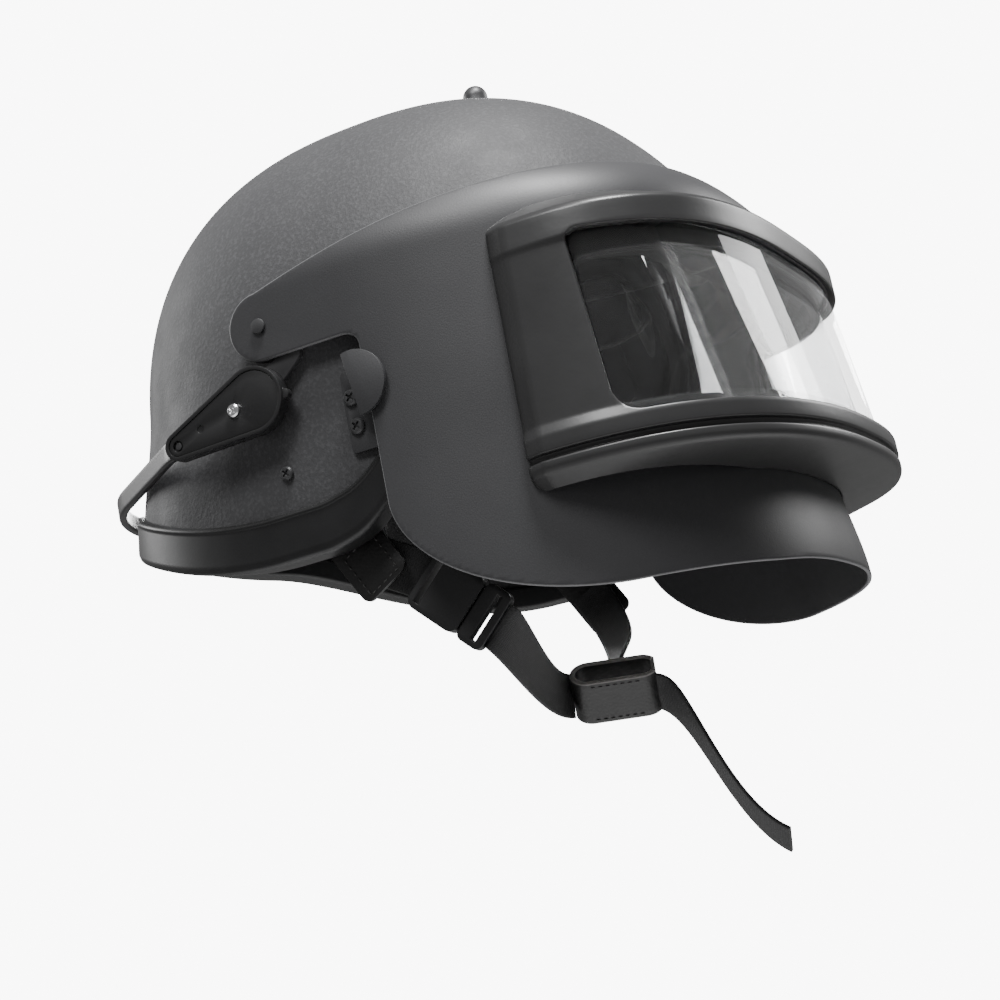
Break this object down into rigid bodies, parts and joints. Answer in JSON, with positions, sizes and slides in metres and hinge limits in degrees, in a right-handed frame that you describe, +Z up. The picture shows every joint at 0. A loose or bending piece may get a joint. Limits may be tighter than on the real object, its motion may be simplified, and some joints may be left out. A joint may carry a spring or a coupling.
{
  "type": "ballistic helmet",
  "caption": "Deep-shell helmet with a full hinged visor plate, wrap-around armoured window, sprung release bail behind, padded liner and buckled chin strap.",
  "frame": {"origin": "where the underside of the crown pad rests on the top of the head", "axes": "front of the helmet towards -Y, +Z up out of the crown, the wearer's right towards -X"},
  "size_m": [0.2806, 0.346, 0.371],
  "materials": {
    "shell_paint": "textured dark grey paint over a composite shell",
    "plate_paint": "satin dark grey paint",
    "frame_black": "moulded, slightly glossy black",
    "edge_trim": "smooth satin black",
    "lever_black": "fine grained black",
    "gasket_rubber": "matt black",
    "window_clear": "clear, polished",
    "pad_cloth": "black knitted cover over foam",
    "webbing_black": "black woven webbing",
    "leather_black": "glossy black with pale cut edges",
    "buckle_plastic": "satin black",
    "screw_dark": "blackened steel",
    "screw_bright": "bright plated",
    "steel_plain": "plain steel, dulled"
  },
  "bodies": {
    "helmet": {"shell": "shell_paint", "rim_trim": "edge_trim", "crown_stud": "screw_dark", "crown_nut": "steel_plain", "crown_pad": "pad_cloth", "front_pad": "pad_cloth", "rear_pad": "pad_cloth", "side_pad_right": "pad_cloth", "side_pad_left": "pad_cloth", "ear_pad_right": "pad_cloth", "ear_pad_left": "pad_cloth", "pivot_bush_right": "steel_plain", "pivot_bush_left": "steel_plain", "pivot_pin_right": "screw_dark", "pivot_pin_left": "screw_dark", "pivot_nuts": "steel_plain", "keeper_right": "plate_paint", "keeper_left": "plate_paint", "keeper_screws": "screw_dark", "keeper_nuts": "steel_plain", "lever_boss_right": "steel_plain", "lever_boss_left": "steel_plain", "lever_screws": "screw_bright", "lever_nuts": "steel_plain", "lever_spring_right": "steel_plain", "lever_spring_left": "steel_plain", "strap_screws": "screw_dark", "strap_nuts": "steel_plain", "strap_tab_right": "leather_black", "strap_tab_left": "leather_black", "buckle_socket": "buckle_plastic", "buckle_plug": "buckle_plastic", "strap_right": "webbing_black", "strap_left": "webbing_black", "chin_strap": "webbing_black", "chin_loop": "leather_black", "strap_tail": "webbing_black"},
    "visor": {"visor_plate": "plate_paint", "window_frame": "frame_black", "window_lens": "window_clear", "lens_gasket": "gasket_rubber", "lens_retainer": "frame_black", "frame_screws": "screw_dark", "latch_disc_right": "screw_dark", "latch_disc_left": "screw_dark"},
    "release_lever": {"lever_housing_right": "lever_black", "lever_housing_left": "lever_black", "lever_cover_right": "lever_black", "lever_cover_left": "lever_black", "latch_pawl_right": "screw_dark", "latch_pawl_left": "screw_dark", "bail": "lever_black", "bail_rivets": "screw_dark"}
  },
  "joints": [
    {"name": "visor_raise", "type": "hinge", "parent": "helmet", "child": "visor", "pos_m": [0, 0.022, -0.084], "axis": [-1, 0, 0], "range_deg": [0, 75]},
    {"name": "lever_release", "type": "hinge", "parent": "helmet", "child": "release_lever", "pos_m": [0, 0.038, -0.116], "axis": [1, 0, 0], "range_deg": [0, 25], "stiffness_Nm_per_rad": 0.8, "springref_deg": -28.65}
  ]
}
